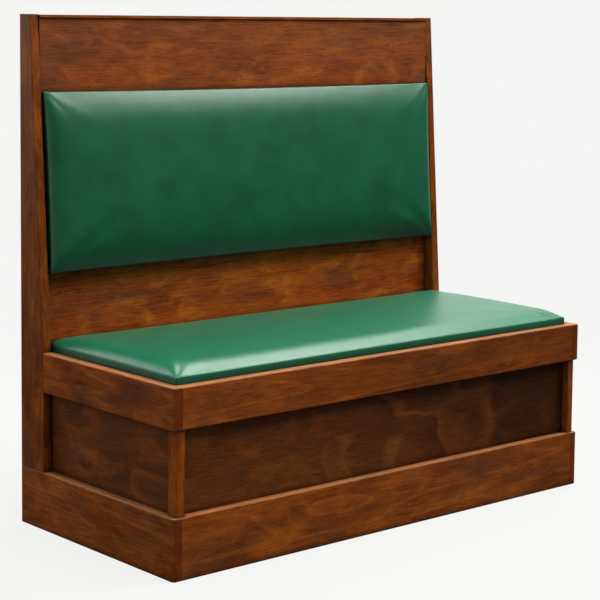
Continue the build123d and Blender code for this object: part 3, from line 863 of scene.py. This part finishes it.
def seat_cushion():
    u, v = np.meshgrid(spaced(GRID_LONG), spaced(GRID_SHORT), indexing="ij")
    half_x = (seat_high.x - seat_low.x) / 2 - CUSHION_CLEARANCE
    half_y = (seat_high.y - seat_low.y) / 2 - CUSHION_CLEARANCE
    centre_y = (seat_high.y + seat_low.y) / 2
    x = u * half_x * (1 - SEAT_DRAW_IN / 2 / half_x * (1 - v ** 2))
    y = centre_y + v * half_y * (1 - SEAT_DRAW_IN / half_y * (1 - u ** 2))
    end_distance = (1 - np.abs(u)) * half_x
    side_distance = (1 - np.abs(v)) * half_y
    seam = rail_top + SEAT_SEAM_RISE + SEAT_CORNER_LIFT * np.abs(u * v) ** 12
    crown = seat_high.z - SEAT_SWELL_ROOM - SEAT_DOME * (1 - (1 - u ** 4) * (1 - v ** 2))
    crown = crown + SEAT_END_CROWN * u ** 4 * (1 - v ** 2)
    end_climb = round_shoulder(end_distance, SEAT_END_SHOULDER)
    climb = lesser(end_climb, flat_shoulder(side_distance, SEAT_SHOULDER))
    z = seam + (crown - seam) * climb
    z = z - corner_crease(end_distance, side_distance, *SEAT_CREASE)
    top = np.stack([x, y, z], axis=-1)
    bottom = top.copy()
    bottom[..., 2] = seat_low.z + CUSHION_CLEARANCE
    return closed_pillow("seat_cushion", top, bottom)


seat = seat_cushion()
inflate(seat, lambda p: np.clip((rail_top + HELD_HEIGHT - p[:, 2]) / HELD_FADE, 0, 1))
finish_cushion(seat, seat_vinyl, "seat_cover", "seat_foam")
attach(seat, "seat")

# %% [markdown]
# ## The back cushion
# This one lies on the raked panel and stands out a little past the end boards. Its front is laid
# out from the end boards' edges and its rear from the panel, so it leans as they do. Its upper and
# lower shoulders are much wider than the seat's, as the light on them in the photograph shows.

# %% Back cushion
back_low, back_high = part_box("back_cushion_cover")
end_low, end_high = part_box("end_board_left")
panel_low, panel_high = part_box("back_face_panel")
PANEL_THICKNESS = 0.012
PANEL_CLEARANCE = 0.0003
END_BOARD_HEAD = 0.039
BACK_DRAW_IN = 0.003
BACK_EDGE_PROUD = 0.006
BACK_PROUD = 0.029
BACK_DOME = 0.004
BACK_SHOULDER = 0.125
BACK_TOP_POWER = 2.4
BACK_FOOT_POWER = 3.4
BACK_END_SHOULDER = 0.045
BACK_CREASE = (0.001, 0.006, 0.07)
print("back cushion space", [round(v, 4) for v in (*back_low, *back_high)])


def panel_front(z):
    # The front of the raked panel, which leans back towards the top
    share = (z - panel_low.z) / (panel_high.z - panel_low.z)
    return panel_low.y + (panel_high.y - PANEL_THICKNESS - panel_low.y) * share


def end_board_edge(z):
    # The front edge of the end boards, straight from the top of the rail to their tops
    share = (z - rail_top) / (end_high.z - rail_top)
    return end_low.y + (end_high.y - END_BOARD_HEAD - end_low.y) * share


def back_cushion():
    u, v = np.meshgrid(spaced(GRID_LONG), spaced(GRID_SHORT), indexing="ij")
    half_x = (back_high.x - back_low.x) / 2 - CUSHION_CLEARANCE
    half_z = (back_high.z - back_low.z) / 2 - CUSHION_CLEARANCE
    centre_z = (back_high.z + back_low.z) / 2
    x = u * half_x * (1 - BACK_DRAW_IN / half_x * (1 - v ** 2))
    z = centre_z + v * half_z - np.sign(v) * BACK_DRAW_IN * (1 - u ** 2) * np.abs(v)
    end_distance = (1 - np.abs(u)) * half_x
    side_distance = (1 - np.abs(v)) * half_z
    end_climb = round_shoulder(end_distance, BACK_END_SHOULDER)
    power = np.where(v > 0, BACK_TOP_POWER, BACK_FOOT_POWER)
    climb = lesser(end_climb, round_shoulder(side_distance, BACK_SHOULDER, power))
    dome = BACK_DOME * (1 - u ** 6) * (1 - v ** 2)
    proud = BACK_EDGE_PROUD + (BACK_PROUD - BACK_DOME - BACK_EDGE_PROUD) * climb + dome
    y = end_board_edge(z) - proud + corner_crease(end_distance, side_distance, *BACK_CREASE)
    top = np.stack([x, y, z], axis=-1)
    bottom = top.copy()
    bottom[..., 1] = panel_front(z) - PANEL_CLEARANCE
    return closed_pillow("back_cushion", top, bottom)


back = back_cushion()
inflate(back, lambda p: np.clip((p[:, 1] - panel_front(p[:, 2]) + HELD_HEIGHT) / HELD_FADE, 0, 1))
finish_cushion(back, back_vinyl_shaded, "back_cushion_cover", "back_cushion_foam")
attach(back, "booth")

# %% [markdown]
# ## Screws in the rear panel
# The rear panel is held by sixteen countersunk screws in an even grid, four to each stud. Placing
# them by hand would be slow and a change of the grid slower, so Geometry Nodes do it. One screw is
# made once, from a cone, a shank and a cross cut into the head. A grid gives the places, each
# screw is turned by its own amount as a driver leaves it, and the last nodes make one real mesh.

# %% Geometry node helpers
def pattern_tree(name, **inputs):
    # A node group with one input for each named size, and the values to give them
    tree = bpy.data.node_groups.new(name, "GeometryNodeTree")
    tree.interface.new_socket(name="Geometry", in_out="OUTPUT", socket_type="NodeSocketGeometry")
    kinds = {int: "NodeSocketInt", float: "NodeSocketFloat", tuple: "NodeSocketVector"}
    values = {}
    for title, value in inputs.items():
        made = tree.interface.new_socket(name=title, in_out="INPUT", socket_type=kinds[type(value)])
        values[made.identifier] = value
    return tree, node(tree, "NodeGroupInput").outputs, values


def shape(tree, kind, links, **settings):
    # A node whose inputs are given by name, as links or as plain values
    made = node(tree, kind, **settings)
    for title, value in links.items():
        socket = [s for s in made.inputs if s.name == title and s.enabled][0]
        feed(tree, socket, value)
    return made.outputs[0]


def vector(tree, x=0.0, y=0.0, z=0.0):
    return shape(tree, "ShaderNodeCombineXYZ", {"X": x, "Y": y, "Z": z})


def placed(tree, geometry, **change):
    # The same geometry, moved by Translation or turned by Rotation
    return shape(tree, "GeometryNodeTransform", {"Geometry": geometry, **change})


def joined(tree, *parts):
    made = node(tree, "GeometryNodeJoinGeometry")
    for part in parts:
        tree.links.new(part, made.inputs[0])
    return made.outputs[0]


def grow(name, tree, values, geometry, material):
    # Ends the tree, runs it on an empty object and keeps the result as a plain mesh
    real = shape(tree, "GeometryNodeRealizeInstances", {"Geometry": geometry})
    finish = node(tree, "GeometryNodeSetMaterial")
    tree.links.new(real, finish.inputs["Geometry"])
    finish.inputs["Material"].default_value = material
    tree.links.new(finish.outputs[0], node(tree, "NodeGroupOutput").inputs[0])
    made = bpy.data.objects.new(name, bpy.data.meshes.new(name))
    scene.collection.objects.link(made)
    pattern = made.modifiers.new("pattern", "NODES")
    pattern.node_group = tree
    for identifier, value in values.items():
        pattern[identifier] = value
    applied(made)
    size = np.ptp(coordinates(made.data), axis=0)
    print(name, "faces", len(made.data.polygons), "box", [round(float(v), 4) for v in size])
    return made


# %% Rear panel screws
screws_low, screws_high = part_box("rear_panel_screws")
QUARTER_TURN = math.pi / 2
SCREW_COLUMNS = 4
SCREW_ROWS = 4
SCREW_SEED = 7
HEAD_RADIUS = 0.004
HEAD_DEPTH = 0.0026
HEAD_SIDES = 32
SHANK_RADIUS = 0.0018
SHANK_SIDES = 16
CROSS_REACH = 1.25
CROSS_WIDTH = 0.0009
CROSS_DEPTH = 0.0024


def rear_screws():
    spread_x = screws_high.x - screws_low.x - 2 * HEAD_RADIUS
    spread_z = screws_high.z - screws_low.z - 2 * HEAD_RADIUS
    middle = (screws_low + screws_high) / 2
    tree, size, values = pattern_tree(
        "rear_screws", columns=SCREW_COLUMNS, rows=SCREW_ROWS, spread_x=spread_x, spread_z=spread_z,
        centre=(middle.x, screws_high.y, middle.z), head_radius=HEAD_RADIUS, head_depth=HEAD_DEPTH,
        shank_radius=SHANK_RADIUS, length=screws_high.y - screws_low.y, seed=SCREW_SEED)
    head = shape(tree, "GeometryNodeMeshCone", {
        "Vertices": HEAD_SIDES, "Radius Top": size["head_radius"], "Radius Bottom": size["shank_radius"],
        "Depth": size["head_depth"]})
    sunk = calc(tree, "MULTIPLY", size["head_depth"], -1.0)
    head = placed(tree, head, Translation=vector(tree, z=sunk))
    reach = calc(tree, "MULTIPLY", size["head_radius"], CROSS_REACH)
    bar = shape(tree, "GeometryNodeMeshCube", {"Size": vector(tree, reach, CROSS_WIDTH, CROSS_DEPTH)})
    cut = node(tree, "GeometryNodeMeshBoolean", operation="DIFFERENCE")
    tree.links.new(head, cut.inputs[0])
    tree.links.new(bar, cut.inputs[1])
    tree.links.new(placed(tree, bar, Rotation=(0.0, 0.0, QUARTER_TURN)), cut.inputs[1])
    depth = calc(tree, "SUBTRACT", size["length"], size["head_depth"])
    shank = shape(tree, "GeometryNodeMeshCylinder", {
        "Vertices": SHANK_SIDES, "Radius": size["shank_radius"], "Depth": depth})
    down = calc(tree, "SUBTRACT", sunk, calc(tree, "MULTIPLY", depth, 0.5))
    shank = placed(tree, shank, Translation=vector(tree, z=down))
    places = shape(tree, "GeometryNodeMeshGrid", {
        "Size X": size["spread_x"], "Size Y": size["spread_z"], "Vertices X": size["columns"],
        "Vertices Y": size["rows"]})
    places = placed(tree, places, Translation=size["centre"], Rotation=(QUARTER_TURN, 0.0, 0.0))
    screws = shape(tree, "GeometryNodeInstanceOnPoints", {
        "Points": places, "Instance": joined(tree, cut.outputs[0], shank),
        "Rotation": (-QUARTER_TURN, 0.0, 0.0)})
    turn = shape(tree, "FunctionNodeRandomValue", {"Max": math.pi, "Seed": size["seed"]}, data_type="FLOAT")
    screws = shape(tree, "GeometryNodeRotateInstances", {
        "Instances": screws, "Rotation": vector(tree, z=turn), "Local Space": True})
    return grow("rear_screw_heads", tree, values, screws, plain_materials["steel"])


screws = rear_screws()
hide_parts("rear_panel_screws")
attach(screws, "booth")

# %% [markdown]
# ## Staples under the seat
# The cover is pulled round the board and stapled underneath, close to the edge. The staples
# follow four straight lines. A line of points, a staple on each and one more node to turn it are
# all it takes, and a change of the spacing moves them all. A staple is a bent wire, so it is a
# rounded rectangle of thin wire, with its inner half driven into the board.

# %% Staples
under_low, under_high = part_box("seat_dust_cover")
STAPLE_SPACING = 0.045
STAPLE_INSET = 0.009
STAPLE_RISE = 0.0024
WIRE_SIDES = 8
BEND_POINTS = 3
STAPLES_LONG = 23
STAPLES_SHORT = 9

# For each row: the side it lies on, its staples, how many quarter turns it makes, and which half size
STAPLE_ROWS = (
    (1, STAPLES_LONG, 0.0, "back"),
    (-1, STAPLES_LONG, 0.0, "back"),
    (-1, STAPLES_SHORT, 1.0, "across"),
    (1, STAPLES_SHORT, 1.0, "across"),
)


def seat_staples():
    tree, size, values = pattern_tree(
        "seat_staples", crown=0.011, leg=0.006, bend=0.0012, wire=0.0006, spacing=STAPLE_SPACING,
        centre=((under_low.x + under_high.x) / 2, (under_low.y + under_high.y) / 2,
                under_low.z + STAPLE_RISE),
        across=(under_high.x - under_low.x) / 2 - STAPLE_INSET,
        back=(under_high.y - under_low.y) / 2 - STAPLE_INSET)
    bent = shape(tree, "GeometryNodeCurvePrimitiveQuadrilateral", {
        "Width": size["crown"], "Height": size["leg"]})
    bent = shape(tree, "GeometryNodeFilletCurve", {
        "Curve": bent, "Count": BEND_POINTS, "Radius": size["bend"]}, mode="POLY")
    round_wire = shape(tree, "GeometryNodeCurvePrimitiveCircle", {
        "Resolution": WIRE_SIDES, "Radius": size["wire"]})
    staple = shape(tree, "GeometryNodeCurveToMesh", {"Curve": bent, "Profile Curve": round_wire})
    staple = placed(tree, staple, Rotation=(QUARTER_TURN, 0.0, 0.0))
    rows = []
    for side, count, turns, half in STAPLE_ROWS:
        first = calc(tree, "MULTIPLY", size["spacing"], -(count - 1) / 2)
        row = shape(tree, "GeometryNodeMeshLine", {
            "Count": count, "Start Location": vector(tree, first), "Offset": vector(tree, size["spacing"])})
        row = shape(tree, "GeometryNodeInstanceOnPoints", {"Points": row, "Instance": staple})
        row = placed(tree, row, Translation=vector(tree, y=calc(tree, "MULTIPLY", size[half], side)))
        rows.append(placed(tree, row, Translation=size["centre"], Rotation=(0.0, 0.0, turns * QUARTER_TURN)))
    return grow("seat_staples", tree, values, joined(tree, *rows), plain_materials["steel"])


staples = seat_staples()
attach(staples, "seat")
